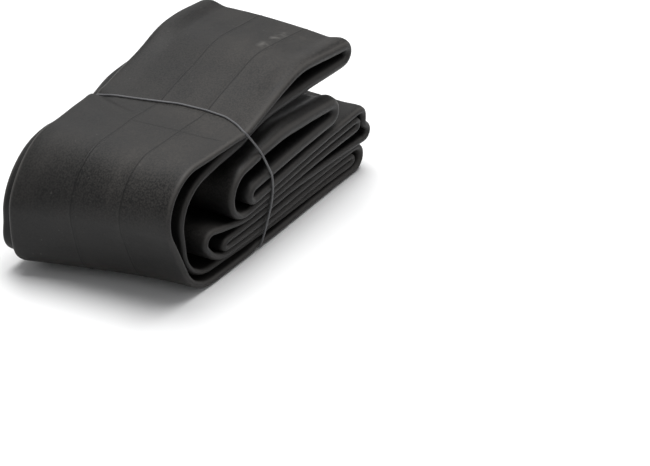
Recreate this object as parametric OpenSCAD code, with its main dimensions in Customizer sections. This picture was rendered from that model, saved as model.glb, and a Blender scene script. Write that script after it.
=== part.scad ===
// Folded bicycle inner tube with a threaded valve, held by one elastic band.
// Millimetres. +X runs along the folded packet, +Y towards the side where the valve
// stands out, +Z up. The origin is on the floor, under the middle of the packet.
// The flattened tube runs as one endless strip round a series of bends. Each bend is
// [centre x, centre z, radius of the strip's middle line], and the strip is tangent
// to every bend in turn.

/* [Tube] */
// width of the tube pressed flat
flat_width = 88; // [60:1:110]
// thickness of the strip: two walls and the little air left between them
strip_thickness = 3.6; // [2:0.1:4]
// how far the strip's edge stands out where the valve is
tongue_out = 3; // [1:0.5:5]
// length of that edge along the strip
tongue_length = 36; // [24:1:50]

/* [Near folds] */
// outermost fold, upper bend
near_outer_upper = [-67, 49.8, 22]; // [-100:0.1:120]
// outermost fold, lower bend
near_outer_lower = [-51.3, 28, 26.2]; // [-100:0.1:120]
// second fold, upper bend
near_second_upper = [-52.9, 40.3, 21.2]; // [-100:0.1:120]
// second fold, lower bend
near_second_lower = [-49.7, 29.6, 22.5]; // [-100:0.1:120]
// third fold
near_third = [-27.4, 41.1, 12.6]; // [-100:0.1:120]
// innermost fold of the middle stack
near_inner = [-20.9, 37, 4.1]; // [-100:0.1:120]
// fold of the lower stack, nose
near_lower_nose = [-54.4, 25.2, 4.6]; // [-100:0.1:120]
// fold of the lower stack, underside
near_lower_under = [-39.2, 31, 19.9]; // [-100:0.1:120]
// innermost fold of the lower stack
near_lower_inner = [-42, 17.7, 2.2]; // [-100:0.1:120]

/* [Far folds] */
// top fold
far_top = [71.5, 72.3, 4.4]; // [-100:0.1:120]
// second fold
far_second = [52, 48.7, 4.6]; // [-100:0.1:120]
// middle fold, upper bend
far_middle_upper = [80.6, 32.6, 4.6]; // [-100:0.1:120]
// pinch between the middle fold's two bends
far_middle_pinch = [87.4, 29, 2.2]; // [-100:0.1:120]
// middle fold, lower bend
far_middle_lower = [86.2, 22.2, 4]; // [-100:0.1:120]
// fold nested in the middle fold
far_middle_inner = [77.2, 30.4, 2.6]; // [-100:0.1:120]
// bottom fold
far_bottom = [81.3, 8.1, 6.3]; // [-100:0.1:120]
// fold nested in the bottom fold
far_bottom_inner = [78.1, 8.3, 2.1]; // [-100:0.1:120]

/* [Bows between the folds] */
// dip in the top layer under the elastic band
dip_top = [-23.5, 101.1, 31.4]; // [-120:0.1:200]
// arch of the top layer beyond the elastic band
arch_top = [32, 39.8, 42.4]; // [-120:0.1:200]
// bow of the second layer
bow_second = [9, -58.2, 126.8]; // [-120:0.1:200]
// bow of the third layer
bow_third = [9, -10.5, 67.6]; // [-120:0.1:200]
// sag of the seventh layer
sag_seventh = [-24, 66.3, 41.9]; // [-120:0.1:200]
// bow of the eighth layer
bow_eighth = [14, -41.7, 62.9]; // [-120:0.1:200]
// radius of the short bends that lift the bottom layer over the elastic band
lift_radius = 12; // [6:0.5:30]
// how far the bottom layer lifts there
lift_height = 1.3; // [1:0.1:3]

/* [Elastic band] */
// thickness of the elastic band
elastic_d = 1.2; // [0.8:0.1:2]
// where the band crosses the top
elastic_top_x = -23.5; // [-50:0.5:50]
// where the band crosses underneath
elastic_bottom_x = -12.5; // [-50:0.5:50]

/* [Valve] */
// distance of the valve from the middle of the packet
valve_x = 24; // [-30:1:60]
// length and height of the moulded rubber pad
pad_size = [32, 12]; // [8:0.5:40]
// thickness of the pad
pad_t = 2.4; // [1.5:0.1:4]
// height of the rubber collar above the pad
collar_h = 4; // [2:0.5:8]
// diameter of the threaded stem
stem_d = 6; // [5:0.1:8]
// length of the stem, foot to mouth
stem_length = 34; // [25:0.5:60]
// diameter of the hole through the stem
stem_bore_d = 4.1; // [3.5:0.05:5]
// diameter of the stem's foot
foot_d = 9.2; // [7:0.1:12]
// running clearance on a radius
running_gap = 0.05; // [0.02:0.01:0.1]
// diameter of the valve core's head
head_d = 5.2; // [4.5:0.1:6]
// length of the core's head
head_length = 7; // [5:0.5:9]
// length of the core's barrel inside the stem
barrel_length = 19; // [12:0.5:24]
// diameter of the plunger pin
pin_d = 1.6; // [1.2:0.05:2]
// how far the pin stands out of the core's head
pin_out = 5.4; // [4:0.1:8]
// height and diameter of the pin's knurled nut
pin_nut_size = [3.1, 4.2]; // [2:0.1:6]
// height and diameter of the rim nut
rim_nut_size = [3.5, 12]; // [3:0.1:16]
// height of the rim nut above the stem's foot
rim_nut_at = 10; // [7:0.5:20]
// length and diameter of the dust cap
cap_size = [21.2, 8.6]; // [6:0.1:30]
// how far the cap reaches down over the stem
cap_over = 7; // [4:0.5:12]

/* [Hidden] */
$fn = 96;
half_t = strip_thickness / 2;
half_w = flat_width / 2;

// +1 where the strip turns left along its run, -1 where it turns right
function bend(c, turn) = [c[0], c[1], c[2], turn];

// short bends of the bottom layer round the elastic band
lift_step = sqrt(pow(2 * lift_radius + 0.2, 2) - pow(2 * lift_radius - lift_height, 2));
lift_before = [elastic_bottom_x + lift_step, half_t + lift_radius, lift_radius];
lift_crest = [elastic_bottom_x, half_t + lift_height - lift_radius, lift_radius];
lift_after = [elastic_bottom_x - lift_step, half_t + lift_radius, lift_radius];

bends = [
    bend(dip_top, 1),
    bend(arch_top, -1),
    bend(far_top, -1),
    bend(bow_second, 1),
    bend(near_second_upper, 1),
    bend(near_second_lower, 1),
    bend(far_bottom_inner, 1),
    bend(near_lower_under, -1),
    bend(near_lower_nose, -1),
    bend(sag_seventh, 1),
    bend(far_middle_inner, 1),
    bend(near_third, -1),
    bend(bow_third, -1),
    bend(far_second, -1),
    bend(near_inner, 1),
    bend(far_middle_upper, -1),
    bend(far_middle_pinch, 1),
    bend(far_middle_lower, -1),
    bend(bow_eighth, 1),
    bend(near_lower_inner, 1),
    bend(far_bottom, -1),
    bend(lift_before, -1),
    bend(lift_crest, 1),
    bend(lift_after, -1),
    bend(near_outer_lower, -1),
    bend(near_outer_upper, -1)
];
count = len(bends);
valve_run = 6;
// how far a bend's flat facets may stray from the true arc
facet = 0.04;

function at(i) = bends[(i + count) % count];
function spot(i) = [at(i)[0], at(i)[1]];
function left_of(angle) = [-sin(angle), cos(angle)];
function unit(angle) = [cos(angle), sin(angle)];
function full_turn(angle) = ((angle % 360) + 360) % 360;

// direction of the straight run from bend i to bend i + 1
function heading(i) =
    let (a = at(i), b = at(i + 1), d = spot(i + 1) - spot(i))
    atan2(d[1], d[0]) - asin((b[3] * b[2] - a[3] * a[2]) / norm(d));
function run_start(i) = spot(i) - at(i)[3] * at(i)[2] * left_of(heading(i));
function run_end(i) = spot(i + 1) - at(i + 1)[3] * at(i + 1)[2] * left_of(heading(i));
// angle turned on bend i, and where on its circle it starts
function sweep(i) = at(i)[3] * full_turn(at(i)[3] * (heading(i) - heading(i - 1)));
function first_angle(i) = heading(i - 1) - 90 * at(i)[3];

function height_on_run(i, x) =
    let (a = run_start(i), b = run_end(i))
    a[1] + (b[1] - a[1]) * (x - a[0]) / (b[0] - a[0]);

valve_z = height_on_run(valve_run, valve_x);
foot_at = half_w + tongue_out;
mouth_at = foot_at + stem_length;
head_top = mouth_at + head_length;
barrel_d = stem_bore_d - 2 * running_gap;
pin_hole_d = pin_d + 2 * running_gap;
// how far the elastic band stays off the rubber, so that the two only just touch
band_gap = 0.06;
elastic_low = lift_height - elastic_d / 2 - band_gap;
elastic_high = dip_top[1] - dip_top[2] + half_t + elastic_d / 2 + band_gap;

// edge of the strip on one side of its middle line, as points round every bend
function steps(i) = max(1, ceil(abs(sweep(i)) / (2 * acos(1 - facet / (at(i)[2] + half_t)))));
function edge(side) = [
    for (i = [0:count - 1])
        for (k = [0:steps(i)])
            spot(i) + (at(i)[2] - at(i)[3] * side) * unit(first_angle(i) + sweep(i) * k / steps(i))
];

// the tube, pressed flat and folded, with the edge that carries the valve
module tube() {
    color([0.07, 0.07, 0.07]) {
        rotate([90, 0, 0])
            linear_extrude(height = flat_width, center = true)
                difference() {
                    polygon(edge(half_t));
                    polygon(edge(-half_t));
                }
        translate([valve_x, half_w - 1, valve_z])
            rotate([0, -heading(valve_run), 0])
                rotate([-90, 0, 0])
                    linear_extrude(height = tongue_out + 1)
                        square([tongue_length, strip_thickness - 0.4], center = true);
    }
}

// the elastic band round the packet, leaning back from bottom to top
module elastic_band() {
    side = half_w + elastic_d / 2 + band_gap;
    rise = elastic_high - elastic_low;
    lean = atan2(elastic_top_x - elastic_bottom_x, rise);
    leg = norm([elastic_top_x - elastic_bottom_x, rise]);
    color([0.3, 0.3, 0.31])
        translate([elastic_bottom_x, 0, elastic_low])
            rotate([0, lean, 0]) {
                for (y = [-side, side]) {
                    translate([0, y, 0])
                        cylinder(h = leg, d = elastic_d);
                    for (z = [0, leg])
                        translate([0, y, z])
                            sphere(d = elastic_d);
                }
                for (z = [0, leg])
                    translate([0, -side, z])
                        rotate([-90, 0, 0])
                            cylinder(h = 2 * side, d = elastic_d);
            }
}

// puts a piece drawn along +Z onto the valve's axis, which points to +Y
module on_valve_axis() {
    translate([valve_x, 0, valve_z])
        rotate([-90, 0, 0])
            children();
}

module rod(low, high, d) {
    translate([0, 0, low])
        cylinder(h = high - low, d = d);
}

// moulded rubber pad and collar that bond the stem to the tube
module valve_base() {
    color([0.09, 0.09, 0.09])
        on_valve_axis()
            difference() {
                union() {
                    translate([0, 0, foot_at])
                        linear_extrude(height = pad_t)
                            union() {
                                square([pad_size[0] - pad_size[1], pad_size[1]], center = true);
                                for (s = [-1, 1])
                                    translate([s * (pad_size[0] - pad_size[1]) / 2, 0])
                                        circle(d = pad_size[1]);
                            }
                    translate([0, 0, foot_at + pad_t])
                        cylinder(h = collar_h, d1 = 11.6, d2 = 8.4);
                }
                rod(foot_at - 1, foot_at + 0.8, foot_d);
                rod(foot_at, foot_at + pad_t + collar_h + 1, stem_d);
            }
}

// brass stem, open from end to end
module valve_stem() {
    color([0.72, 0.7, 0.66])
        on_valve_axis()
            difference() {
                union() {
                    rod(foot_at, foot_at + 0.8, foot_d);
                    rod(foot_at, mouth_at - 0.4, stem_d);
                    translate([0, 0, mouth_at - 0.4])
                        cylinder(h = 0.4, d1 = stem_d, d2 = stem_d - 0.8);
                }
                rod(foot_at - 1, mouth_at + 1, stem_bore_d);
            }
}

// round nut that clamps the stem to a wheel rim
module rim_nut() {
    low = foot_at + rim_nut_at;
    high = low + rim_nut_size[0];
    color([0.74, 0.73, 0.7])
        on_valve_axis()
            difference() {
                rod(low, high, rim_nut_size[1]);
                rod(low - 1, high + 1, stem_d + 2 * running_gap);
                for (k = [0:23])
                    rotate([0, 0, 15 * k])
                        translate([rim_nut_size[1] / 2 + 0.25, 0, low - 1])
                            cylinder(h = high - low + 2, d = 1.1);
            }
}

// removable valve core: barrel in the stem, head with two flats above its mouth
module core_body() {
    color([0.76, 0.68, 0.42])
        on_valve_axis()
            difference() {
                union() {
                    rod(mouth_at - barrel_length, mouth_at, barrel_d);
                    rod(mouth_at, head_top, head_d);
                }
                rod(mouth_at - barrel_length - 1, head_top + 1, pin_hole_d);
                difference() {
                    rod(mouth_at - 5.6, mouth_at - 4, barrel_d + 1);
                    rod(mouth_at - 6, mouth_at - 3.6, 3);
                }
                for (s = [-1, 1])
                    translate([s * 3.2, 0, mouth_at + 2])
                        cube([2, 8, 2.6], center = true);
            }
}

// sealing ring in the core's groove
module core_gasket() {
    color([0.85, 0.85, 0.82])
        on_valve_axis()
            difference() {
                rod(mouth_at - 5.6, mouth_at - 4, barrel_d - 0.04);
                rod(mouth_at - 6, mouth_at - 3.6, 3);
            }
}

// pin that opens the valve when it is pressed in
module plunger_pin() {
    low = mouth_at - barrel_length;
    color([0.76, 0.68, 0.42])
        on_valve_axis() {
            rod(low - 2.4, head_top + pin_out, pin_d);
            rod(low - 3, low - 1.8, 3.2);
        }
}

// rubber washer on the pin that closes the core from inside
module plunger_seal() {
    low = mouth_at - barrel_length;
    color([0.1, 0.1, 0.1])
        on_valve_axis()
            difference() {
                rod(low - 1.8, low - 0.05, 3.4);
                rod(low - 2, low, pin_d);
            }
}

// small knurled nut that locks the pin shut
module pin_nut() {
    low = head_top + 0.1;
    high = low + pin_nut_size[0];
    color([0.76, 0.68, 0.42])
        on_valve_axis()
            difference() {
                rod(low, high, pin_nut_size[1]);
                rod(low - 1, high + 1, pin_hole_d);
                for (k = [0:15])
                    rotate([0, 0, 22.5 * k])
                        translate([pin_nut_size[1] / 2 + 0.1, 0, low - 1])
                            cylinder(h = high - low + 2, d = 0.5);
            }
}

// plastic cap over the valve's mouth
module dust_cap() {
    low = mouth_at - cap_over;
    high = low + cap_size[0];
    color([0.12, 0.12, 0.12])
        on_valve_axis()
            difference() {
                union() {
                    rod(low, low + 9, cap_size[1]);
                    translate([0, 0, low + 9])
                        cylinder(h = high - low - 9, d1 = cap_size[1], d2 = 6.6);
                }
                rod(low - 1, mouth_at + 0.2, stem_d + 2 * running_gap);
                rod(mouth_at - 1, high - 1.2, head_d + 2 * running_gap);
                for (k = [0:11])
                    rotate([0, 0, 30 * k])
                        translate([cap_size[1] / 2 + 0.25, 0, low - 1])
                            cylinder(h = 10, d = 1.2);
            }
}

tube();
elastic_band();
valve_base();
valve_stem();
rim_nut();
core_body();
core_gasket();
plunger_pin();
plunger_seal();
pin_nut();
dust_cap();
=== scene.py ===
# Folded bicycle inner tube with its valve and elastic band.
# Lengths in the dictionaries are millimetres, turned to metres where a mesh is made.
import math

import bpy
import numpy as np
from mathutils import Matrix, Vector
from mathutils.bvhtree import BVHTree


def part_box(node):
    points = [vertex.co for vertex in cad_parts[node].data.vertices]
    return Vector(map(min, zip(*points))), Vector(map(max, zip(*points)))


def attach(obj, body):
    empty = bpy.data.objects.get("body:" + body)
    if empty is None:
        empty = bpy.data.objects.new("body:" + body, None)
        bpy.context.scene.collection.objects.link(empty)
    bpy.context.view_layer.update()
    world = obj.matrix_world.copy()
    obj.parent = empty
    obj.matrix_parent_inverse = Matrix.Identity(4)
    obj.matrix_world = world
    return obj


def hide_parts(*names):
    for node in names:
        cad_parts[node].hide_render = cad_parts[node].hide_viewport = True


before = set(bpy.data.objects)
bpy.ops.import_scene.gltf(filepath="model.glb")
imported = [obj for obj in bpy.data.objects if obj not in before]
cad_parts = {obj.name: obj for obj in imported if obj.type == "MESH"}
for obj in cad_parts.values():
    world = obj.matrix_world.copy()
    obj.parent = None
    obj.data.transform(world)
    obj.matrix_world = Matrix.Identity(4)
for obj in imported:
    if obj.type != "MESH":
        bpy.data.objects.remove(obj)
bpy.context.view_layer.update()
mm = 0.001


def linear(hexColour):
    # sRGB hex to linear: c / 12.92 below 0.04045, else ((c + 0.055) / 1.055) ^ 2.4
    c = np.array([int(hexColour[i:i + 2], 16) for i in (1, 3, 5)]) / 255
    c = np.where(c <= 0.04045, c / 12.92, ((c + 0.055) / 1.055) ** 2.4)
    return (*c.tolist(), 1.0)


def smoothStep(low, high, x):
    # 0 below low, 1 above high, 3 t^2 - 2 t^3 between them
    t = np.clip((x - low) / (high - low), 0, 1)
    return t * t * (3 - 2 * t)


def makeMesh(name, points, quads, triangles=(), smooth=True):
    # points in metres; on a closed piece the faces are turned outwards by the sign of its volume,
    # the sum of a . (b x c) / 6 over its triangles
    points = np.asarray(points, float).reshape(-1, 3)
    a, b, c, d = (points[quads[:, k]] - points.mean(0) for k in range(4))
    if (a * np.cross(b, c)).sum() + (a * np.cross(c, d)).sum() < 0:
        quads, triangles = quads[:, ::-1], [t[::-1] for t in triangles]
    mesh = bpy.data.meshes.new(name)
    mesh.from_pydata(points.tolist(), [], quads.tolist() + list(triangles))
    mesh.validate()
    mesh.polygons.foreach_set("use_smooth", np.full(len(mesh.polygons), smooth))
    mesh.update()
    piece = bpy.data.objects.new(name, mesh)
    bpy.context.scene.collection.objects.link(piece)
    return piece


def gridFaces(rows, columns, closedRows, closedColumns):
    # one quad for each cell of a rows x columns grid of points, wrapping round where it is closed
    i = np.arange(rows if closedRows else rows - 1)[:, None]
    j = np.arange(columns if closedColumns else columns - 1)[None, :]
    i2, j2 = (i + 1) % rows, (j + 1) % columns
    corners = [i * columns + j, i2 * columns + j, i2 * columns + j2, i * columns + j2]
    return np.stack([np.broadcast_to(c, (i.shape[0], j.shape[1])) for c in corners], -1).reshape(-1, 4)


def ringSmooth(values, step, width):
    # average round a closed row of values, weighted by exp(-distance^2 / (2 width^2))
    n = len(values)
    away = np.minimum(np.arange(n), n - np.arange(n)) * step
    weight = np.exp(-away ** 2 / (2 * width ** 2))
    weight = np.fft.rfft(weight / weight.sum())
    if values.ndim == 1:
        return np.fft.irfft(np.fft.rfft(values) * weight, n)
    return np.fft.irfft(np.fft.rfft(values, axis=0) * weight[:, None], n, axis=0)


def addNode(tree, kind, settings=None, inputs=None):
    # adds a node; settings are its own properties, inputs are values or sockets to link from
    node = tree.nodes.new(kind)
    for key, value in (settings or {}).items():
        setattr(node, key, value)
    for key, value in (inputs or {}).items():
        if isinstance(value, bpy.types.NodeSocket):
            tree.links.new(value, node.inputs[key])
        else:
            node.inputs[key].default_value = value
    return node


def newMaterial(name):
    # a material with one shader, ready for its sockets to be set or linked
    material = bpy.data.materials.new(name)
    material.use_nodes = True
    tree = material.node_tree
    tree.nodes.clear()
    shader = tree.nodes.new("ShaderNodeBsdfPrincipled")
    output = tree.nodes.new("ShaderNodeOutputMaterial")
    tree.links.new(shader.outputs[0], output.inputs[0])
    return material, tree, shader


view = {
    "place": (-1.33356, -0.90838, 0.92001),         # metres
    "forward": (0.73463, 0.45905, -0.49959),
    "lens": 202.9,
    "sensor": 36.0,
    "roll": 0.29,                                   # degrees
    "clip": (0.05, 20),
}


def makeCamera(v):
    # long lens that looks down on the rounded end and the -Y side, 30 degrees above the floor
    data = bpy.data.cameras.new("camera")
    data.lens, data.sensor_width = v["lens"], v["sensor"]
    data.clip_start, data.clip_end = v["clip"]
    camera = bpy.data.objects.new("camera", data)
    bpy.context.scene.collection.objects.link(camera)
    turn = Vector(v["forward"]).to_track_quat("-Z", "Y").to_matrix().to_4x4()
    roll = Matrix.Rotation(math.radians(v["roll"]), 4, "Z")
    camera.matrix_world = Matrix.Translation(v["place"]) @ turn @ roll
    bpy.context.scene.camera = camera


studio = {
    "aim": (0, 0, 0.04),        # metres, where every lamp points
    "skyColour": "#f4f5f7",
    "skyStrength": 0.28,
    "floorColour": "#f6f6f6",
    "floorRoughness": 0.9,
    "floorHalf": 6.0,
    "lamps": {
        "softboxAbove": {"at": (0.1, 0.05, 1.15), "size": 0.9, "watts": 17.5},
        "softboxRight": {"at": (0.35, -1.15, 0.6), "size": 0.8, "watts": 0.8},
        "softboxBehind": {"at": (0.95, 0.75, 0.75), "size": 0.7, "watts": 2},
        "softboxLeft": {"at": (-1.0, 0.9, 0.75), "size": 0.8, "watts": 1.4},
    },
}


def makeLight(name, lamp, aim):
    # square softbox that faces the aim
    data = bpy.data.lights.new(name, "AREA")
    data.shape, data.size, data.energy = "SQUARE", lamp["size"], lamp["watts"]
    light = bpy.data.objects.new(name, data)
    light.location = lamp["at"]
    light.rotation_mode = "QUATERNION"
    light.rotation_quaternion = (Vector(aim) - Vector(lamp["at"])).to_track_quat("-Z", "Y")
    bpy.context.scene.collection.objects.link(light)


def makeStudio(s):
    world = bpy.data.worlds.new("studio")
    world.use_nodes = True
    background = world.node_tree.nodes["Background"]
    background.inputs["Color"].default_value = linear(s["skyColour"])
    background.inputs["Strength"].default_value = s["skyStrength"]
    bpy.context.scene.world = world
    for name, lamp in s["lamps"].items():
        makeLight(name, lamp, s["aim"])
    corners = np.array([[-1, -1, 0], [1, -1, 0], [1, 1, 0], [-1, 1, 0]]) * s["floorHalf"]
    floor = makeMesh("floor", corners, np.array([[0, 1, 2, 3]]), smooth=False)
    # white paper sweep: dead flat and matt, so that it takes only the packet's own shadow
    material, _, shader = newMaterial("palePaper")
    shader.inputs["Base Color"].default_value = linear(s["floorColour"])
    shader.inputs["Roughness"].default_value = s["floorRoughness"]
    floor.data.materials.append(material)
    bpy.context.scene.view_settings.view_transform = "Standard"


makeCamera(view)
makeStudio(studio)
print("studio ready")


# Each bend: centre x, centre z, radius, turn (+1 left, -1 right), then how thick half of the
# strip's edge may puff there, and how far the strip has slipped along Y.
strip = {
    "width": 88.0,
    "halfMiddle": 1.5,      # half thickness between the edges
    "edgeReach": 15.0,      # how far in from the edge the puffing fades out
    "standOut": 10.0,       # how far the second fold's +Y edge may stand out, if there is air
    "airKept": 4.2,         # air left outside it
    "openFrom": (5, 26),    # air over a face: covered below the first, open above the second
    "edgeDepth": 1.4,       # depth of the rounded edge over its half thickness
    "contact": 0.14,        # air kept between neighbouring layers
    "bandPlace": -27.0,     # where the elastic holds the upper layers back from slipping
    "bandReach": 14.0,
    "bandHold": 0.4,
    "waviness": 0.24,       # height of the slack waves in the pressed walls
    "waveCount": 14,
    "waveSeed": 11,
    "rows": 1090,
    "bends": [
        (-23.5, 101.1, 31.4, 1, 1.8, 0),        # dip under the elastic band
        (32, 39.8, 42.4, -1, 3.3, 0.5),         # arch of the top layer
        (71.5, 72.3, 4.4, -1, 3.6, 3.5),        # top fold, far end
        (9, -58.2, 126.8, 1, 4.3, 7.5),         # bow of the second layer
        (-52.9, 40.3, 21.2, 1, 1.7, 7),         # second fold, near end
        (-49.7, 29.6, 22.5, 1, 1.6, 8),
        (78.1, 8.3, 2.1, 1, 1.9, 0),            # inside the bottom fold, far end
        (-39.2, 31, 19.9, -1, 1.9, 0),          # lower stack, near end
        (-54.4, 25.2, 4.6, -1, 1.9, 0),
        (-24, 66.3, 41.9, 1, 2, -2),            # sag of the seventh layer
        (77.2, 30.4, 2.6, 1, 2.2, -3),
        (-27.4, 41.1, 12.6, -1, 2, -3),         # third fold, near end
        (9, -10.5, 67.6, -1, 4.8, -4),          # bow of the third layer
        (52, 48.7, 4.6, -1, 4.2, -4),
        (-20.9, 37, 4.1, 1, 3.4, -4),
        (80.6, 32.6, 4.6, -1, 2.3, -3),
        (87.4, 29, 2.2, 1, 2.2, -3),
        (86.2, 22.2, 4, -1, 2.1, -2),
        (14, -41.7, 62.9, 1, 2.1, -2),
        (-42, 17.7, 2.2, 1, 2, -1),
        (81.3, 8.1, 6.3, -1, 2.3, 0),           # bottom fold, far end
        (-4.11, 13.8, 12, -1, 1.8, 0),          # bottom layer lifts over the band
        (-12.5, -8.9, 12, 1, 1.8, 0),
        (-20.89, 13.8, 12, -1, 1.8, 0),
        (-51.3, 28, 26.2, -1, 1.7, 0),          # outermost fold, near end
        (-67, 49.8, 22, -1, 1.7, 0),
    ],
}


def stripRoute(bends, rows):
    # Between two bends the strip is their common tangent: its heading is the angle of the line of
    # centres less asin((s2 r2 - s1 r1) / distance), where s is the turn and r the radius.
    b = np.array(bends, float)
    centre, radius, turn = b[:, :2], b[:, 2], b[:, 3]
    ahead = np.roll(centre, -1, 0) - centre
    gap = np.hypot(ahead[:, 0], ahead[:, 1])
    cross = np.roll(turn * radius, -1) - turn * radius
    heading = np.arctan2(ahead[:, 1], ahead[:, 0]) - np.arcsin(cross / gap)
    straight = np.sqrt(gap ** 2 - cross ** 2)
    before = np.roll(heading, 1)
    arc = radius * ((turn * (heading - before)) % (2 * np.pi))
    start = np.concatenate([[0], np.cumsum(arc + straight)])
    length = start[-1]
    along = np.arange(rows) * length / rows
    i = np.searchsorted(start, along, "right") - 1
    done = along - start[i]
    angle = np.where(done < arc[i], before[i] + turn[i] * done / radius[i], heading[i])
    left = np.stack([-np.sin(angle), np.cos(angle)], 1)
    forward = np.stack([np.cos(angle), np.sin(angle)], 1)
    points = centre[i] - (turn * radius)[i, None] * left + np.maximum(done - arc[i], 0)[:, None] * forward
    middle = start[:-1] + arc / 2
    puff, slip = (np.interp(along, middle, b[:, k], period=length) for k in (4, 5))
    return points, length, puff, slip


def freeGap(points, normals, step, reach=30.0, skip=5.0):
    # Distance from each point p along its normal n to the next stretch of strip, at most reach: the
    # piece q to q + d is crossed at share = -((q - p) x n) / (d x n), where share is 0 to 1.
    # Stretches nearer than skip along the strip are left out.
    n = len(points)
    d = np.roll(points, -1, 0) - points
    rel = points[None, :, :] - points[:, None, :]
    across = d[None, :, 0] * normals[:, None, 1] - d[None, :, 1] * normals[:, None, 0]
    across = np.where(np.abs(across) < 1e-9, 1e-9, across)
    share = -(rel[..., 0] * normals[:, None, 1] - rel[..., 1] * normals[:, None, 0]) / across
    away = ((rel[..., 0] + share * d[None, :, 0]) * normals[:, None, 0]
            + (rel[..., 1] + share * d[None, :, 1]) * normals[:, None, 1])
    apart = np.abs(np.arange(n)[:, None] - np.arange(n)[None, :])
    apart = np.minimum(apart, n - apart) * step
    good = (share >= 0) & (share <= 1) & (away > 0.3) & (apart > skip)
    return np.minimum(np.where(good, away, reach).min(1), reach)


def localLow(values, count):
    # lowest value within count places either way round a closed row
    return np.min([np.roll(values, k) for k in range(-count, count + 1)], axis=0)


# the band's place x: by y over the top, by z down the -Y and +Y sides
elastic = {
    "radius": 0.6,
    "sides": 10,
    "step": 1.0,
    "sink": 0.25,           # how far the band presses into the rubber
    "under": -12.5,         # its x beneath the packet
    "topX": [(-44, -24.5), (-36, -19.5), (-28, -16.5), (-16, -16), (0, -17), (14, -20.3), (29, -24.3),
             (44, -27.6)],
    "nearX": [(0.6, -12.5), (10, -9), (24, -6), (33, -6.2), (42, -7.5), (50, -11.5), (58, -15.5),
              (66, -20.5), (72, -24.5)],
    "farX": [(0.6, -12.5), (72, -27.6)],
    "grooveDepth": 0.45,    # groove in the top layer, and how much deeper at its pinched +Y edge
    "pinchDepth": 1.3,
    "grooveWidth": 2.6,
    "creaseDepth": 0.8,     # slack crease that starts at the pinch, with a low ridge beside it
    "ridgeHeight": 0.7,
    "creaseFrom": 30.0,     # y where both are placed
    "creaseRun": (-30, 0.22, 2.4),      # x there, how far x moves over y, half width
    "ridgeRun": (-36, 0.30, 4),
}


def onTable(table, value):
    # value read off a row of (key, value) pairs, straight between them
    keys, values = zip(*table)
    return np.interp(value, keys, values)


def pressedUnderBand(p, e):
    # How far the top layers are pressed down: a groove along the band's own line, and a slack
    # crease that starts where the band pinches the +Y edge and dies out towards the middle. Each
    # has the section exp(-(distance / width)^2).
    x, y, z = p[..., 0], p[..., 1], p[..., 2]
    away = x - onTable(e["topX"], y)
    depth = e["grooveDepth"] + e["pinchDepth"] * smoothStep(30, 44, y)
    groove = depth * np.exp(-(away / e["grooveWidth"]) ** 2)
    crease, ridge = (np.exp(-((x - start - slope * (y - e["creaseFrom"])) / width) ** 2)
                     for start, slope, width in (e["creaseRun"], e["ridgeRun"]))
    crease, ridge = crease * smoothStep(6, 26, y), ridge * smoothStep(0, 26, y)
    return (groove + e["creaseDepth"] * crease - e["ridgeHeight"] * ridge) * smoothStep(58, 68, z)


lean = {
    "push": 25.0,           # how far the rounded end's lower corner stands out on the +Y side
    "pushHeights": (8, 76), # the push is whole below the first and gone above the second
    "halfWidth": 46.0,
    "drop": 3.8,            # how far its upper corner is lower on the +Y side
    "bulge": 3.5,           # how far the top fold's far end bows out in its middle
    "bulgeAt": (4, 42),     # y of that middle, and how far from it the bow ends
    "rise": 2.5,            # how far the second layer rises towards the top one, +Y side
    "riseAt": (34, 20),     # x of the rise and its reach
    "archDrop": 3.0,        # the top layer's arch is lower on its +Y side
    "archAt": (18, 22),
    "waves": 9,             # slow waves that keep the packet from looking ruled
    "waveLengths": (110, 90, 130),
    "waveHeight": 0.35,
    "seed": 7,
}


def makePacketWaves(v):
    # one row for each wave: its three counts per millimetre, its phase and its heights in x, y, z
    source = np.random.default_rng(v["seed"])
    counts = [source.uniform(-1, 1, v["waves"]) / length for length in v["waveLengths"]]
    phase = source.uniform(0, 2 * math.pi, v["waves"])
    heights = [source.uniform(-v["waveHeight"], v["waveHeight"], v["waves"]) for k in range(3)]
    return np.stack([*counts, phase, *heights], 1)


def leanPacket(p, v):
    # One smooth field moves every layer alike, so that layers stay apart. At the rounded end it
    # pushes outwards by push * share * (1 - smoothStep(z)) and drops by drop * share * z / 70, where
    # share is the place across, 0 to 1, to the power 1.3.
    x, y, z = p[..., 0], p[..., 1], p[..., 2]
    share = np.clip((y / v["halfWidth"] + 1) / 2, 0, 1.1) ** 1.3 * smoothStep(25, 75, -x)
    out = p.copy()
    out[..., 0] -= share * v["push"] * (1 - smoothStep(*v["pushHeights"], z))
    out[..., 2] -= v["drop"] * share * smoothStep(24, 62, -x) * np.clip(z / 70, 0, 1)
    # behind its +Y edge the second layer rises to the top one
    between = smoothStep(56, 66, z) * (1 - smoothStep(70, 75, z))
    middle, reach = v["riseAt"]
    hump = np.exp(-((x - middle) / reach) ** 2)
    out[..., 2] += v["rise"] * hump * smoothStep(20, 44, y) * between
    # the far end of the top fold bows out by bulge * (1 - ((y - middle) / reach)^2)
    middle, reach = v["bulgeAt"]
    far = smoothStep(30, 76, x) * smoothStep(58, 68, z)
    out[..., 0] += v["bulge"] * far * np.clip(1 - ((y - middle) / reach) ** 2, 0, 1)
    middle, reach = v["archAt"]
    arch = np.exp(-((x - middle) / reach) ** 2) * smoothStep(60, 80, z) * smoothStep(-20, 40, y)
    out[..., 2] -= v["archDrop"] * arch
    for countX, countY, countZ, start, moveX, moveY, moveZ in makePacketWaves(v):
        phase = (x * countX + y * countY + z * countZ) * 2 * math.pi + start
        out[..., 0] += 0.6 * moveX * np.sin(phase)
        out[..., 1] += moveY * np.sin(phase + 1.7)
        out[..., 2] += moveZ * np.sin(phase + 3.1) * smoothStep(0, 8, z)
    return out


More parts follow.
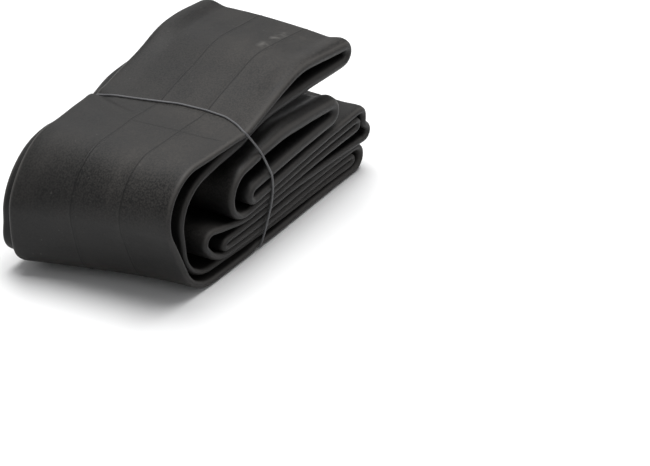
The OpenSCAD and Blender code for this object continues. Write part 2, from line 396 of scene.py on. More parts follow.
moulding = {
    "lines": (10.0, -16.5),     # places across of the two fine moulding lines
    "lineWidth": 1.2,           # of the raised bead
    "lineHeight": 0.16,
    "clear": 1.6,               # no other sample of the surface comes nearer than this
}


def acrossSamples(width, reach, m):
    # Places across the strip: the first list turns round the puffed edge, the second runs in from
    # the edge to where the puffing has gone, and the third crosses the flat middle.
    turn = np.radians(np.linspace(0, 90, 8))
    fade = np.linspace(0, 1, 8)[1:]
    inner = width / 2 - reach
    middle = np.linspace(inner, -inner, 15)[1:-1]
    ridges = [c + k * m["lineWidth"] for c in m["lines"] for k in (-0.5, 0, 0.5)]
    middle = np.array([y for y in middle if min(abs(y - c) for c in m["lines"]) > m["clear"]])
    return turn, fade, np.sort(np.concatenate([middle, ridges]))[::-1]


def halfSection(turn, fade, middle, half, flat, s):
    # One face of the pressed tube, from the +Y edge to the -Y edge. y is the place across, h the
    # distance from the middle line: a quarter ellipse, then a smooth fall to the flat thickness.
    deep = s["edgeDepth"] * half[:, None]
    yTurn = s["width"] / 2 - deep * (1 - np.cos(turn))[None, :]
    hTurn = half[:, None] * np.sin(turn)[None, :]
    yFade = s["width"] / 2 - deep - (s["edgeReach"] - deep) * fade[None, :]
    hFade = flat[:, None] + (half - flat)[:, None] * (1 - smoothStep(0, 1, fade))[None, :]
    yMid = np.broadcast_to(middle, (len(half), len(middle)))
    hMid = np.broadcast_to(flat[:, None], yMid.shape)
    y = np.concatenate([yTurn, yFade, yMid, -yFade[:, ::-1], -yTurn[:, ::-1]], 1)
    h = np.concatenate([hTurn, hFade, hMid, hFade[:, ::-1], hTurn[:, ::-1]], 1)
    return y, h


def slackWaves(along, length, y, s):
    # slow waves of the pressed walls: a sum of sines whose counts along the strip are whole
    # numbers, so that the waves close where the strip meets itself
    source = np.random.default_rng(s["waveSeed"])
    total = np.zeros(y.shape)
    for k in range(s["waveCount"]):
        count, across = source.integers(8, 45), source.uniform(-1, 1) / 45
        phase = 2 * math.pi * (count * along[:, None] / length + across * y) + source.uniform(0, 6.3)
        total += np.sin(phase) / s["waveCount"] ** 0.5
    return total


def makeFace(line, left, side, puff, step, s):
    # One face of the strip, side 1 or -1: places across, distance from the middle line, the air
    # that is left over it, and how open it is, 0 where layers touch and 1 where it is uncovered.
    free = localLow(freeGap(line, side * left, step), 2)
    gap = free / 2 - s["contact"]
    half = np.minimum(ringSmooth(np.minimum(puff, gap), step, 1.6), gap + 0.1)
    half = np.clip(half, 1.0, None)
    samples = acrossSamples(s["width"], s["edgeReach"], moulding)
    y, h = halfSection(*samples, half, np.minimum(half * 0.94, s["halfMiddle"]), s)
    if side == 1:
        width = 0.4 * moulding["lineWidth"]
        ridge = sum(np.exp(-((y - c) / width) ** 2) for c in moulding["lines"])
        h = h + moulding["lineHeight"] * ridge
    uncovered = ringSmooth(smoothStep(*s["openFrom"], free), step, 4)
    return y, side * h, gap - half, uncovered[:, None] + 0 * y


def leanIntoAir(line, left, slip, step, s):
    # where the near end's second fold has air outside it, its +Y edge leans out into that air
    air = np.clip(localLow(freeGap(line, -left, step), 3) - s["airKept"], 0, s["standOut"])
    air = ringSmooth(air, step, 3) * smoothStep(40, 62, -line[:, 0]) * (slip > 3)
    return ringSmooth(air, step, 3)


def makeTube(s):
    # Closed grid of points: rows along the strip, columns round its section, then the section's
    # place is line + h * left, slipped along Y, pressed by the band and leaned with the packet.
    rows = s["rows"]
    raw, length, puff, slip = stripRoute(s["bends"], rows)
    step = length / rows
    along = np.arange(rows) * step
    line = ringSmooth(raw, step, 1.3)
    puff, slip = ringSmooth(puff, step, 9), ringSmooth(slip, step, 25)
    tangent = np.roll(line, -1, 0) - np.roll(line, 1, 0)
    tangent /= np.hypot(tangent[:, 0], tangent[:, 1])[:, None]
    left = np.stack([-tangent[:, 1], tangent[:, 0]], 1)
    underBand = np.exp(-((line[:, 0] - s["bandPlace"]) / s["bandReach"]) ** 2) * (line[:, 1] > 55)
    slip = slip * (1 - s["bandHold"] * underBand)
    yPlus, hPlus, roomPlus, openPlus = makeFace(line, left, 1, puff, step, s)
    yMinus, hMinus, roomMinus, openMinus = makeFace(line, left, -1, puff, step, s)
    y, h, openFace = (np.concatenate([plus, minus[:, -2:0:-1]], 1)
                      for plus, minus in ((yPlus, yMinus), (hPlus, hMinus), (openPlus, openMinus)))
    room = ringSmooth(np.minimum(roomPlus, roomMinus), step, 4)
    slack = s["waviness"] * np.clip(room / 2, 0.06, 1)
    h = h + slack[:, None] * slackWaves(along, length, y, s)
    h = h - leanIntoAir(line, left, slip, step, s)[:, None] * smoothStep(-25, 44, y) ** 2
    points = np.empty((rows, y.shape[1], 3))
    points[..., 0] = line[:, None, 0] + left[:, None, 0] * h
    # a slipped layer is also stretched a little: its leading edge moves by the whole slip
    leading = smoothStep(-44, 44, y * np.sign(slip[:, None]))
    points[..., 1] = y + slip[:, None] * (0.4 + 0.6 * leading)
    points[..., 2] = line[:, None, 1] + left[:, None, 1] * h
    points[..., 2] -= pressedUnderBand(points, elastic)
    points = leanPacket(points, lean)
    points[..., 2] = np.maximum(points[..., 2], 0.02)
    piece = makeMesh("pressed_tube", points * mm, gridFaces(rows, y.shape[1], True, True))
    writeStripMap(piece, along, length, y, openFace)
    topLayer = np.where(line[:, 1] > 69, line[:, 0], 999)
    return piece, length, lambda x: along[np.argmin(np.abs(topLayer - x))] * mm


def writeStripMap(piece, along, length, y, openFace):
    # UV map in metres: U is the distance along the strip, V the place across, and a tenth of a
    # metre more on the strip's other face, so that the two faces differ. Two attributes tell the
    # material where the folded edges are and which faces are open.
    columns = y.shape[1]
    u = np.broadcast_to(along[:, None], y.shape).ravel() * mm
    v = (y + np.where(np.arange(columns)[None, :] > columns // 2, 100.0, 0.0)).ravel() * mm
    mesh = piece.data
    corner = np.empty(len(mesh.loops), np.int32)
    mesh.loops.foreach_get("vertex_index", corner)
    uCorner = u[corner].reshape(-1, 4)
    wrap = (uCorner.max(1) - uCorner.min(1)) > length * mm / 2
    uCorner = np.where(wrap[:, None] & (uCorner < length * mm / 2), uCorner + length * mm, uCorner)
    uv = np.stack([uCorner.ravel(), v[corner]], 1)
    mesh.uv_layers.new(name="strip").data.foreach_set("uv", uv.astype(np.float32).ravel())
    # the folded rims, where the material paints a highlight
    edge = np.exp(-((np.abs(y) - strip["width"] / 2 + 0.9) / 0.8) ** 2)
    for name, values in (("edgeRim", edge), ("openFace", openFace)):
        data = mesh.attributes.new(name, "FLOAT", "POINT").data
        data.foreach_set("value", values.ravel().astype(np.float32))


tube, stripLength, alongTop = makeTube(strip)
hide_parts("tube")
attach(tube, "packet")
print("tube folded,", round(stripLength), "mm long")


def castLine(tree, start, direction):
    # where a line from start first meets the tube, or None
    hit = tree.ray_cast(Vector(start) * mm, Vector(direction))[0]
    return None if hit is None else np.array(hit) / mm


def hullLoop(points):
    # convex hull of points in a plane, by the monotone chain: each side keeps only left turns
    points = sorted(set(map(tuple, np.round(points, 3).tolist())))
    sides = []
    for row in (points, points[::-1]):
        side = []
        for p in row:
            while len(side) > 1 and ((side[-1][0] - side[-2][0]) * (p[1] - side[-2][1])
                                     - (side[-1][1] - side[-2][1]) * (p[0] - side[-2][0])) <= 0:
                side.pop()
            side.append(p)
        sides += side[:-1]
    return np.array(sides)


def evenLoop(points, step):
    # closed loop again, with points evenly spaced along it
    closed = np.concatenate([points, points[:1]])
    along = np.concatenate([[0], np.cumsum(np.linalg.norm(np.diff(closed, axis=0), axis=1))])
    count = int(along[-1] / step)
    at = np.arange(count) * along[-1] / count
    return np.stack([np.interp(at, along, closed[:, k]) for k in range(closed.shape[1])], 1)


def bandX(yz, e):
    # the band's place along the packet: by y over the top and underneath, by z down the two sides
    y, z = yz[:, 0], yz[:, 1]
    side = np.where(y < 0, onTable(e["nearX"], z), onTable(e["farX"], z))
    return np.where((z > 68) & (np.abs(y) < 42), onTable(e["topX"], y), side)


def bandHits(tree, e):
    # points where lines cast at the packet from above, below and both sides meet the rubber
    lines = []
    for shift in (-0.5, 0.5):
        for y in np.arange(-46, 46.1, 2):
            lines.append(((onTable(e["topX"], y) + shift, y, 120), (0, 0, -1)))
            lines.append(((e["under"] + shift, y, -30), (0, 0, 1)))
        for z in np.arange(1, 73, 1.5):
            for sign, table in ((-1, e["nearX"]), (1, e["farX"])):
                lines.append(((onTable(table, z) + shift, sign * 90, z), (0, -sign, 0)))
    hits = [castLine(tree, *line) for line in lines]
    yz = np.array([hit[1:] for hit in hits if hit is not None])
    return yz[np.abs(yz[:, 0]) < 60]


def bandLoop(piece, e):
    # The taut band runs over whatever stands out most: the convex hull, in the plane across the
    # packet, of the points on the rubber. Over the top it follows the rubber itself.
    tree = BVHTree.FromObject(piece, bpy.context.evaluated_depsgraph_get())
    loop = evenLoop(hullLoop(bandHits(tree, e)), e["step"])
    lift = e["radius"] - e["sink"]
    beside = np.sign(loop[:, 0]) * (np.abs(loop[:, 0]) > 40)
    above = np.sign(loop[:, 1] - 36) * (np.abs(loop[:, 1] - 36) > 33)
    loop = loop + lift * np.stack([beside, above], 1)
    loop[:, 1] = np.maximum(loop[:, 1], e["radius"] + 0.05)
    for i in np.where((loop[:, 1] > 60) & (np.abs(loop[:, 0]) < 43))[0]:
        spot = castLine(tree, (onTable(e["topX"], loop[i, 0]), loop[i, 0], 120), (0, 0, -1))
        if spot is not None:
            loop[i, 1] = spot[2] + lift
    path = np.stack([bandX(loop, e), loop[:, 0], loop[:, 1]], 1)
    return ringSmooth(evenLoop(path, e["step"]), e["step"], 1.6)


def sweepRing(name, path, radius, sides):
    # Round section carried along a closed path: across = tangent x X, over = across x tangent,
    # point = path + radius (cos a across + sin a over).
    tangent = np.roll(path, -1, 0) - np.roll(path, 1, 0)
    tangent /= np.linalg.norm(tangent, axis=1)[:, None]
    across = np.cross(tangent, np.array([1.0, 0, 0]))
    across /= np.linalg.norm(across, axis=1)[:, None]
    over = np.cross(across, tangent)
    angle = np.arange(sides) * 2 * math.pi / sides
    points = (path[:, None, :] + radius * (np.cos(angle)[None, :, None] * across[:, None, :]
                                           + np.sin(angle)[None, :, None] * over[:, None, :]))
    return makeMesh(name, points * mm, gridFaces(len(path), sides, True, True))


band = sweepRing("elastic_loop", bandLoop(tube, elastic), elastic["radius"], elastic["sides"])
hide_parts("elastic_band")
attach(band, "packet")
print("elastic band on")


def cadSpan(node):
    # a CAD node's lower and upper end along the valve, and its radius across it, in millimetres
    low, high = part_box(node)
    return low.y / mm, high.y / mm, (high.x - low.x) / 2 / mm


stemLow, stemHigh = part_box("valve_stem")
valveX = (stemLow.x + stemHigh.x) / 2 / mm
valveZ = (stemLow.z + stemHigh.z) / 2 / mm
footY, mouthY = stemLow.y / mm, stemHigh.y / mm


def latheClosed(name, profile, sides, shape=None):
    # Profile (radius, place along the valve) turned about the valve's axis. A profile that ends on
    # the axis gets one point there; any other is a closed ring. shape(radius, angle, place)
    # returns the radius again, for threads, knurls and flats.
    profile = np.array(profile, float)
    poles = profile[0, 0] == 0 and profile[-1, 0] == 0
    ring = profile[1:-1] if poles else profile
    angle = np.arange(sides) * 2 * math.pi / sides
    r = np.broadcast_to(ring[:, :1], (len(ring), sides))
    along = np.broadcast_to(ring[:, 1:2], r.shape)
    if shape is not None:
        r = shape(r, angle[None, :], along)
    x, z = valveX + r * np.cos(angle), valveZ + r * np.sin(angle)
    points = np.stack([x, along, z], -1).reshape(-1, 3)
    faces = gridFaces(len(ring), sides, not poles, True)
    if not poles:
        return makeMesh(name, points * mm, faces)
    first, last = len(points), len(points) + 1
    points = np.concatenate([points, [[valveX, profile[k, 1], valveZ] for k in (0, -1)]])
    k = np.arange(sides)
    k2, rim = (k + 1) % sides, (len(ring) - 1) * sides
    fans = [(first, k, k2), (last, rim + k2, rim + k)]
    triangles = [np.stack([np.full(sides, pole), a, b], 1).tolist() for pole, a, b in fans]
    return makeMesh(name, points * mm, faces, triangles[0] + triangles[1])


def between(points, spacing):
    # the profile again, with no two points further apart than spacing
    points = [np.array(p, float) for p in points]
    out = [points[0]]
    for a, b in zip(points[:-1], points[1:]):
        count = max(1, math.ceil(np.linalg.norm(b - a) / spacing))
        out += [a + (b - a) * (k + 1) / count for k in range(count)]
    return out


def roundCorner(corner, before, after, radius, count=4):
    # Quarter round in a profile: a quadratic curve from radius before the corner to radius after it.
    c, b, a = (np.array(p, float) for p in (corner, before, after))
    start = c + (b - c) / np.linalg.norm(b - c) * radius
    end = c + (a - c) / np.linalg.norm(a - c) * radius
    t = np.linspace(0, 1, count + 1)[:, None]
    return list((1 - t) ** 2 * start + 2 * t * (1 - t) * c + t ** 2 * end)


def rounded(corners, radii):
    # closed profile with each corner rounded by its own radius, 0 for a sharp one
    out = []
    for k, (corner, radius) in enumerate(zip(corners, radii)):
        before, after = corners[k - 1], corners[(k + 1) % len(corners)]
        out += roundCorner(corner, before, after, radius) if radius else [np.array(corner, float)]
    return out


def threaded(low, high, depth, pitch):
    # V-shaped thread: radius less depth * |2 frac(place / pitch - angle / 2 pi) - 1|, fading in and
    # out over one pitch at its ends
    def shape(r, angle, along):
        turn = along / pitch - angle / (2 * math.pi)
        saw = np.abs(2 * (turn - np.floor(turn)) - 1)
        fade = smoothStep(low, low + pitch, along) * (1 - smoothStep(high - pitch, high, along))
        outer = r > r.max() * 0.9
        return r - depth * smoothStep(0.1, 0.9, saw) * fade * outer
    return shape


def fluted(low, high, count, depth):
    # grooves along the axis: radius less depth * (0.5 + 0.5 cos(count angle))^2 between low and high
    def shape(r, angle, along):
        fade = smoothStep(low - 0.2, low + 0.3, along) * (1 - smoothStep(high - 0.6, high + 0.2, along))
        outer = r > r.max() * 0.82
        return r - depth * (0.5 + 0.5 * np.cos(count * angle)) ** 2 * fade * outer
    return shape


valve = {
    "padSize": (32.0, 12.0),
    "padThick": 2.4,
    "collarTop": 4.2,       # radius of the rubber collar where it ends
    "collarHeight": 4.0,
    "flange": 4.6,          # radius of the stem's flange, held in the boot
    "flangeThick": 0.8,
    "stemRadius": 3.0,
    "boreRadius": 2.05,
    "threadDepth": 0.22,
    "threadPitch": 0.8,
    "barrelRadius": 2.0,
    "headRadius": 2.6,
    "headFlat": 2.2,        # half distance across the head's two flats
    "pinRadius": 0.8,
    "pinHole": 0.85,
    "capRadius": 4.3,
    "capTip": 3.3,
    "capSkirt": 9.0,        # height of the ribbed part
    "knurlDepth": 0.42,
    "nutFluteDepth": 0.22,
    "ribDepth": 0.55,
}


def makeBoot(v):
    # Moulded pad and collar: each ring is a mix of the pad's outline and a circle, where the pad's
    # outline in direction a is a stadium, and the mix goes from 1 at the foot to 0 at the collar.
    halfLength, halfHeight = v["padSize"][0] / 2, v["padSize"][1] / 2
    top, socket, hole = v["padThick"] + v["collarHeight"], v["flange"] + 0.05, v["stemRadius"] + 0.05
    # rows: share of the pad's outline, inset from it, radius of the circle, height above the foot
    rows = [(1, 1.2, 0, 0.0), (1, 0.4, 0, 0.15), (1, 0.0, 0, 0.5), (1, 0.1, 0, 0.9), (1, 0.7, 0, 1.25),
            (0.9, 1.0, 6.6, 1.5), (0.62, 1.0, 6.6, 1.85), (0.3, 0.8, 6.4, 2.2), (0.08, 0.4, 6.2, 2.7),
            (0, 0, 5.7, 3.4), (0, 0, 5.1, 4.4), (0, 0, 4.6, 5.5), (0, 0, v["collarTop"], 6.1),
            (0, 0, v["collarTop"] - 0.3, top), (0, 0, hole, top),
            (0, 0, hole, v["flangeThick"]), (0, 0, socket, v["flangeThick"]), (0, 0, socket, 0.0)]
    share, inset, radius, height = (np.array(column)[:, None] for column in zip(*rows))
    angle = np.arange(72) * 2 * math.pi / 72
    c, s = np.cos(angle)[None, :], np.sin(angle)[None, :]
    straight = halfLength - halfHeight
    a = np.maximum(halfHeight - inset, 0.1)
    padX, padZ = np.sign(c) * straight * smoothStep(0, 0.35, np.abs(c)) + a * c, a * s
    x = share * padX + (1 - share) * radius * c
    z = share * padZ + (1 - share) * radius * s
    y = footY + np.minimum(height, top) + 0 * x
    points = np.stack([valveX + x, y, valveZ + z], -1)
    return makeMesh("valve_boot", points * mm, gridFaces(len(rows), 72, True, True))


def makeStem(v):
    # flange inside the boot, threaded outside, plain bore for the core
    low, high, r, bore = footY, mouthY, v["stemRadius"], v["boreRadius"]
    flangeTop = low + v["flangeThick"]
    foot = [(bore, low), (v["flange"], low), (v["flange"], flangeTop), (r, flangeTop)]
    side = between([(r, low + 1.0), (r, high - 0.4)], v["threadPitch"] / 8)
    mouth = [(r - 0.4, high), (bore + 0.15, high), (bore, high - 0.2)]
    inside = between([(bore, high - 0.6), (bore, low + 0.5)], 3)
    return latheClosed("threaded_stem", foot + side + mouth + inside, 40,
                       threaded(low + 6, high - 0.5, v["threadDepth"], v["threadPitch"]))


def makeRimNut(v):
    # round nut, knurled all round and chamfered on its outer face
    low, high, r = cadSpan("rim_nut")
    hole = v["stemRadius"] + 0.05
    corners = [(hole + 0.25, low), (r - 0.1, low), (r, low + 0.5), (r, high - 0.9), (r - 0.9, high),
               (hole + 0.25, high), (hole, high - 0.25), (hole, low + 0.25)]
    profile = rounded(corners, [0, 0.25, 0.2, 0.3, 0.3, 0, 0, 0])
    profile = between(profile + [corners[0]], 0.35)[:-1]
    return latheClosed("knurled_rim_nut", profile, 192, fluted(low + 0.4, high - 0.3, 24, v["knurlDepth"]))


def makeCore(v):
    # barrel with a groove for its gasket, a head with two flats at the stem's mouth, and a thread
    # for the cap above them
    low, top, _ = cadSpan("core_body")
    r, head, hole, seat = v["barrelRadius"], v["headRadius"], v["pinHole"], mouthY
    grooved = r - 0.48
    barrel = between([(hole, low), (r - 0.3, low), (r, low + 0.4), (r, seat - 5.7)], 0.5)
    groove = [(r, seat - 5.6), (grooved, seat - 5.6), (grooved, seat - 4), (r, seat - 4)]
    neck = between([(r, seat - 3.9), (r, seat - 0.1)], 0.1) + [(r, seat), (head, seat)]
    crown = between([(head, seat + 0.1), (head, top - 0.5)], 0.2)
    mouth = [(head - 0.4, top), (hole + 0.2, top), (hole, top - 0.2)]
    inner = between([(hole, top - 1), (hole, low + 0.5)], 3)
    thread = threaded(seat + 4.2, top - 0.5, 0.16, 0.5)

    def shape(radius, angle, along):
        # the two flats: radius at most headFlat / |cos angle|
        flat = v["headFlat"] / np.maximum(np.abs(np.cos(angle)), 0.05)
        inFlat = (along > seat + 0.7) & (along < seat + 3.3) & (radius > head - 0.1)
        return np.where(inFlat, np.minimum(radius, flat), thread(radius, angle, along))
    return latheClosed("valve_core", barrel + groove + neck + crown + mouth + inner, 48, shape)


def makePin(v):
    # button under the seal, plain shank, threaded end with a rounded tip
    low, high, _ = cadSpan("plunger_pin")
    r = v["pinRadius"]
    button = [(0, low), (1.3, low), (1.6, low + 0.3), (1.6, low + 1.0), (1.4, low + 1.2), (r, low + 1.2)]
    shank = between([(r, low + 1.4), (r, high - 3.0)], 1.5)
    shank += between([(r, high - 2.9), (r, high - 0.6)], 0.1)
    tip = [(r - 0.15, high - 0.25), (r - 0.45, high), (0, high)]
    return latheClosed("core_pin", button + shank + tip, 32, threaded(high - 3.4, high - 0.4, 0.1, 0.4))


def makePinNut(v):
    # small fluted nut that screws down to lock the pin
    low, high, r = cadSpan("pin_nut")
    hole = v["pinHole"]
    corners = [(hole + 0.15, low), (r - 0.15, low), (r, low + 0.4), (r, high - 0.6), (r - 0.6, high),
               (hole + 0.2, high), (hole, high - 0.2), (hole, low + 0.2)]
    profile = rounded(corners, [0, 0.15, 0.15, 0.25, 0.25, 0, 0, 0])
    profile = between(profile + [corners[0]], 0.25)[:-1]
    return latheClosed("core_nut", profile, 128, fluted(low + 0.3, high - 0.5, 16, v["nutFluteDepth"]))


def makeCap(v):
    # domed tip, tapering wall, ribbed skirt, and a hollow that clears the stem and the core
    low, high, _ = cadSpan("dust_cap")
    r, tip, skirt = v["capRadius"], v["capTip"], low + v["capSkirt"]
    inside, overCore = v["stemRadius"] + 0.05, v["headRadius"] + 0.05
    dome = [(0.92 * tip * math.sin(a), high - 0.9 * (1 - math.cos(a)))
            for a in np.radians([25, 45, 65, 80, 90])]
    wall = between([(tip, high - 1.6), (r - 0.35, skirt + 0.3), (r, skirt - 0.4), (r, low + 0.4)], 0.5)
    lip = [(r - 0.15, low + 0.1), (r - 0.4, low)]
    hollow = [(inside + 0.2, low), (inside, low + 0.3), (inside, mouthY + 0.2), (overCore, mouthY + 0.25),
              (overCore, high - 1.3), (0, high - 1.2)]
    profile = [(0, high)] + dome + wall + lip + between(hollow, 2.0)
    return latheClosed("ribbed_dust_cap", profile, 144, fluted(low + 0.8, skirt - 0.6, 12, v["ribDepth"]))


valvePieces = [
    (makeBoot, "valve_base", "packet", "moulded_rubber"),
    (makeStem, "valve_stem", "packet", "plated_brass"),
    (makeRimNut, "rim_nut", "rim_nut", "plated_brass"),
    (makeCore, "core_body", "core", "brass"),
    (makePin, "plunger_pin", "plunger", "brass"),
    (makePinNut, "pin_nut", "pin_nut", "brass"),
    (makeCap, "dust_cap", "dust_cap", "cap_plastic"),
]
made = {}
for maker, node, body, slot in valvePieces:
    piece = maker(valve)
    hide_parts(node)
    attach(piece, body)
    made[node] = piece
print("valve made")


def noise(tree, source, size, detail, rough):
    # soft noise with patches about size millimetres across
    inputs = {"Vector": source, "Scale": 1 / (size * mm), "Detail": detail, "Roughness": rough}
    return addNode(tree, "ShaderNodeTexNoise", None, inputs).outputs["Fac"]


def calc(tree, operation, a, b=0.0, clamp=False):
    # one sum on two values or sockets, held between 0 and 1 if clamp is True
    settings = {"operation": operation, "use_clamp": clamp}
    return addNode(tree, "ShaderNodeMath", settings, {0: a, 1: b}).outputs[0]


def remap(tree, value, span, out, curve="SMOOTHSTEP"):
    # value carried from one span to another and held at its ends
    inputs = {"Value": value, "From Min": span[0], "From Max": span[1], "To Min": out[0], "To Max": out[1]}
    return addNode(tree, "ShaderNodeMapRange", {"interpolation_type": curve}, inputs).outputs[0]


def blend(tree, factor, under, over):
    # one colour over another
    return addNode(tree, "ShaderNodeMix", {"data_type": "RGBA"}, {0: factor, 6: under, 7: over}).outputs[2]


def axes(tree, vector):
    # the three parts of a vector
    parts = addNode(tree, "ShaderNodeSeparateXYZ", None, {0: vector}).outputs
    return parts["X"], parts["Y"], parts["Z"]


butyl = {
    "rubber": "#131313",
    "talc": "#383634",          # rubber under its fullest dusting
    "rimHighlight": "#4a4846",          # painted highlight along the folded rims, where the lamp catches their shoulders
    "line": "#0d0d0d",          # moulding lines and splice
    "chalk": "#b9b6b0",         # talc rubbed on in a heap
    "cloudSize": 35.7,          # size of one patch of each pattern
    "smearSize": 14.3,
    "smearPull": 0.35,          # smears are drawn out along the strip, 1 to 0.35
    "grainSize": 0.91,
    "rippleSize": 3.85,
    "speckSize": 1.92,
    "chalkSize": 5.88,
    "talcAcross": (-36, 40),       # across the strip, from the edge with most talc to the edge with least
    "floorLightHeights": (3, 22),       # heights between which the painted floor light on the lowest layers fades out
    "lineWidth": 0.8,           # half width of the dark cut of a moulding line or the splice
    "lineShare": 0.65,          # how strongly the cut, the painted floor light, the marks and the specks cover
    "floorLightShare": 0.55,
    "chalkShare": 0.14,
    "speckShare": 0.05,
    "spliceX": -42,             # where the splice crosses the top layer
    "spliceMiddle": -14.5,      # its middle, across the strip
    "spliceReach": (21, 28),    # how far from there it fades out
    "spliceTilt": 0.1,          # how far it leans, along over across
    "chalkMarks": ((43, -13.4, 4.5), (51, -12.4, 3.0), (58, -12.6, 4.0)),   # x, across, radius
    "roughness": (0.48, 0.66),  # bare rubber, talc
    "shine": 0.24,              # specular level
    "skinDepth": 1.0,           # height of a bump whose share is 1
}


def talcAmount(tree, b, smear, grain):
    # Talc greys the rubber in broad clouds, in smears drawn out along the strip and in a fine grain.
    # Walls and undersides get less of it, which paints shade on them as if from the lamp above, and
    # covered faces inside the folds get less too, which paints shade in the hollows. The talc thins
    # from the -Y edge of the strip towards the +Y edge. The lowest layers are lightened by painted
    # light that stands in for light bounced off the white floor.
    place = addNode(tree, "ShaderNodeTexCoord").outputs["Object"]
    across = axes(tree, addNode(tree, "ShaderNodeUVMap", {"uv_map": "strip"}).outputs[0])[1]
    openFace = addNode(tree, "ShaderNodeAttribute", {"attribute_name": "openFace"}).outputs["Fac"]
    facing = facingUp(tree)
    clouds = remap(tree, noise(tree, place, b["cloudSize"], 4, 0.55), (0.35, 0.75), (0, 0.4))
    talc = calc(tree, "ADD", clouds, remap(tree, smear, (0.45, 0.8), (0, 0.3)))
    talc = calc(tree, "ADD", talc, remap(tree, grain, (0.36, 0.64), (0, 0.6)), True)
    # painted shade: walls and undersides get less talc, so they stay darker, as if shaded from the lamp
    # above
    talc = calc(tree, "MULTIPLY", talc, remap(tree, facing, (-0.4, 0.75), (0.22, 1.0)))
    # painted shade: covered faces inside the folds get less talc, so the hollows are darker
    talc = calc(tree, "MULTIPLY", talc, remap(tree, openFace, (0, 1), (0.25, 1.0)))
    # the talc thins from the -Y edge of the strip towards the +Y edge
    talcAcross = [edge * mm for edge in b["talcAcross"]]
    talc = calc(tree, "MULTIPLY", talc, remap(tree, across, talcAcross, (1.25, 0.62)))
    # painted floor light: the lowest layers are lightened in smear-shaped patches, as light bounced off
    # the white floor would light them
    low = remap(tree, axes(tree, place)[2], [z * mm for z in b["floorLightHeights"]], (1, 0))
    dust = calc(tree, "MULTIPLY", low, remap(tree, smear, (0.3, 0.6), (0.5, 1)))
    return calc(tree, "ADD", talc, calc(tree, "MULTIPLY", dust, b["floorLightShare"]), True)


def facingUp(tree):
    # the normal's Z part: 1 on what faces up, 0 on a wall, -1 underneath
    return axes(tree, addNode(tree, "ShaderNodeNewGeometry").outputs["Normal"])[2]


def lineAmount(tree, b):
    # 1 on the fine lines that the mould left along the strip, and a little less on the splice, which
    # crosses the top layer a shade off square and over part of its width
    along, across, _ = axes(tree, addNode(tree, "ShaderNodeUVMap", {"uv_map": "strip"}).outputs[0])
    width = b["lineWidth"] * mm
    away = calc(tree, "ADD", calc(tree, "SUBTRACT", along, alongTop(b["spliceX"])),
                calc(tree, "MULTIPLY", across, b["spliceTilt"]))
    fromMiddle = calc(tree, "ABSOLUTE", calc(tree, "SUBTRACT", across, b["spliceMiddle"] * mm))
    reach = remap(tree, fromMiddle, [y * mm for y in b["spliceReach"]], (1, 0))
    splice = calc(tree, "MULTIPLY", remap(tree, calc(tree, "ABSOLUTE", away), (0, width), (1, 0)), reach)
    lines = calc(tree, "MULTIPLY", splice, 0.9)
    for centre in moulding["lines"]:
        away = calc(tree, "ABSOLUTE", calc(tree, "SUBTRACT", across, centre * mm))
        lines = calc(tree, "MAXIMUM", lines, remap(tree, away, (0, width), (1, 0)))
    return lines


def chalkAmount(tree, b):
    # faint rubbed marks on the top layer, and stray specks all over
    place = addNode(tree, "ShaderNodeTexCoord").outputs["Object"]
    along, across, _ = axes(tree, addNode(tree, "ShaderNodeUVMap", {"uv_map": "strip"}).outputs[0])
    patchy = remap(tree, noise(tree, place, b["chalkSize"], 2, 0.5), (0.35, 0.7), (0, 1))
    specks = remap(tree, noise(tree, place, b["speckSize"], 1, 0.4), (0.76, 0.80), (0, 1))
    chalk = calc(tree, "MULTIPLY", specks, b["speckShare"])
    for x, y, size in b["chalkMarks"]:
        du = calc(tree, "SUBTRACT", along, alongTop(x))
        dv = calc(tree, "SUBTRACT", across, y * mm)
        square = calc(tree, "ADD", calc(tree, "MULTIPLY", du, du), calc(tree, "MULTIPLY", dv, dv))
        far = calc(tree, "SQRT", square)
        mark = calc(tree, "MULTIPLY", remap(tree, far, (0.3 * size * mm, 1.3 * size * mm), (1, 0)), patchy)
        chalk = calc(tree, "MAXIMUM", chalk, calc(tree, "MULTIPLY", mark, b["chalkShare"]))
    return chalk


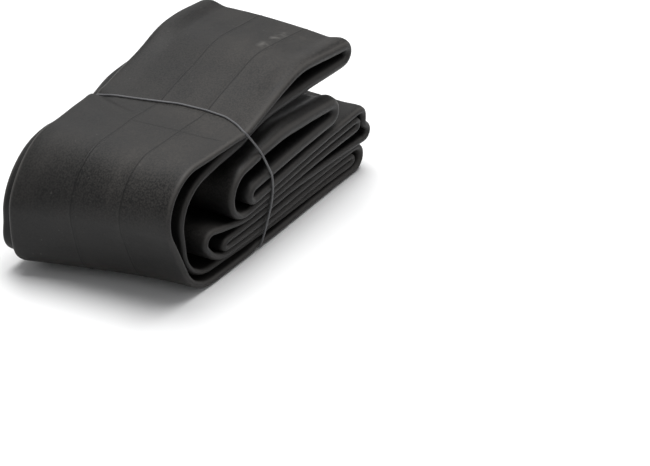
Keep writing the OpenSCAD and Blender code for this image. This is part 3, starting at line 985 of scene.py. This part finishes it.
def butylRubber(b):
    # Butyl rubber, extruded and pressed flat: a dull black with a broad soft sheen, greyed by talc that
    # also carries painted shade and painted floor light, with a painted highlight along its folded rims,
    # cut by two moulding lines and the splice.
    material, tree, shader = newMaterial("butylRubber")
    place = addNode(tree, "ShaderNodeTexCoord").outputs["Object"]
    onStrip = addNode(tree, "ShaderNodeUVMap", {"uv_map": "strip"}).outputs[0]
    drawn = {"Vector": onStrip, "Scale": (b["smearPull"], 1, 1)}
    drawn = addNode(tree, "ShaderNodeMapping", None, drawn).outputs[0]
    rim = addNode(tree, "ShaderNodeAttribute", {"attribute_name": "edgeRim"}).outputs["Fac"]
    smear = noise(tree, drawn, b["smearSize"], 5, 0.6)
    grain = noise(tree, place, b["grainSize"], 3, 0.6)
    talc = talcAmount(tree, b, smear, grain)
    lines = lineAmount(tree, b)
    # painted highlight: the folded rims are lightened, more where they face up towards the lamp above
    rimHighlight = calc(tree, "MULTIPLY", rim, remap(tree, facingUp(tree), (-0.1, 0.75), (0.12, 0.85)))
    colour = blend(tree, talc, linear(b["rubber"]), linear(b["talc"]))
    colour = blend(tree, rimHighlight, colour, linear(b["rimHighlight"]))
    colour = blend(tree, calc(tree, "MULTIPLY", lines, b["lineShare"]), colour, linear(b["line"]))
    colour = blend(tree, chalkAmount(tree, b), colour, linear(b["chalk"]))
    tree.links.new(colour, shader.inputs["Base Color"])
    tree.links.new(remap(tree, talc, (0, 1), b["roughness"]), shader.inputs["Roughness"])
    shader.inputs["IOR"].default_value = 1.5
    shader.inputs["Specular IOR Level"].default_value = b["shine"]
    # skin: fine grain, slow ripples and smears stand out, the lines are sunk
    skin = calc(tree, "MULTIPLY", grain, 0.06)
    ripple = noise(tree, place, b["rippleSize"], 3, 0.5)
    for pattern, height in ((ripple, 0.12), (smear, 0.12), (lines, -0.22)):
        skin = calc(tree, "ADD", skin, calc(tree, "MULTIPLY", pattern, height))
    skin = {"Strength": 0.6, "Distance": b["skinDepth"] * mm, "Height": skin}
    bump = addNode(tree, "ShaderNodeBump", None, skin)
    tree.links.new(bump.outputs[0], shader.inputs["Normal"])
    return material


def grained(name, dark, light, metallic, roughness, grainSize, bumpHeight, cloudSize=11.1):
    # One finish from two near colours in soft clouds, with a grain that breaks up its shine; sizes
    # in millimetres.
    material, tree, shader = newMaterial(name)
    place = addNode(tree, "ShaderNodeTexCoord").outputs["Object"]
    grain = noise(tree, place, grainSize, 3, 0.6)
    colour = blend(tree, noise(tree, place, cloudSize, 2, 0.5), linear(dark), linear(light))
    tree.links.new(colour, shader.inputs["Base Color"])
    rough = remap(tree, grain, (0.3, 0.7), (roughness - 0.08, roughness + 0.08), "LINEAR")
    tree.links.new(rough, shader.inputs["Roughness"])
    bump = addNode(tree, "ShaderNodeBump", None,
                   {"Strength": 0.5, "Distance": bumpHeight * mm, "Height": grain})
    tree.links.new(bump.outputs[0], shader.inputs["Normal"])
    shader.inputs["Metallic"].default_value = metallic
    return material


def elasticRubber():
    # extruded grey elastic: satin, a little mottled with dust
    return grained("elasticRubber", "#444446", "#626264", 0.0, 0.55, 0.6, 0.2)


def mouldedRubber():
    # moulded rubber of the valve's foot and the pin's seal: dense matt black
    return grained("mouldedRubber", "#1d1d1d", "#282726", 0.0, 0.6, 0.4, 0.1)


def nickelPlate():
    # nickel-plated brass, machined: pale grey with a soft shine on every crest of the thread
    return grained("nickelPlate", "#c9c6c0", "#d8d6d1", 1.0, 0.3, 0.3, 0.03)


def turnedBrass():
    # turned brass: warm yellow, so the core stands out from the plated stem
    return grained("turnedBrass", "#c39a4e", "#d8b56a", 1.0, 0.3, 0.3, 0.03)


def mouldedCap():
    # injection-moulded polythene: black and slightly waxy, so its ribs catch the light
    return grained("mouldedCap", "#151516", "#1f1f20", 0.0, 0.42, 0.5, 0.05)


def sealPlastic():
    # white sealing ring, moulded: plain and matt
    return grained("sealPlastic", "#d9d7d0", "#e6e4de", 0.0, 0.5, 0.5, 0.05)


def giveMaterial(piece, material):
    piece.data.materials.clear()
    piece.data.materials.append(material)


moulded, nickel, brass = mouldedRubber(), nickelPlate(), turnedBrass()
giveMaterial(tube, butylRubber(butyl))
giveMaterial(band, elasticRubber())
for node, material in (("valve_base", moulded), ("valve_stem", nickel), ("rim_nut", nickel),
                       ("core_body", brass), ("plunger_pin", brass), ("pin_nut", brass),
                       ("dust_cap", mouldedCap())):
    giveMaterial(made[node], material)
giveMaterial(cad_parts["core_gasket"], sealPlastic())
giveMaterial(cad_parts["plunger_seal"], moulded)
print("materials on")
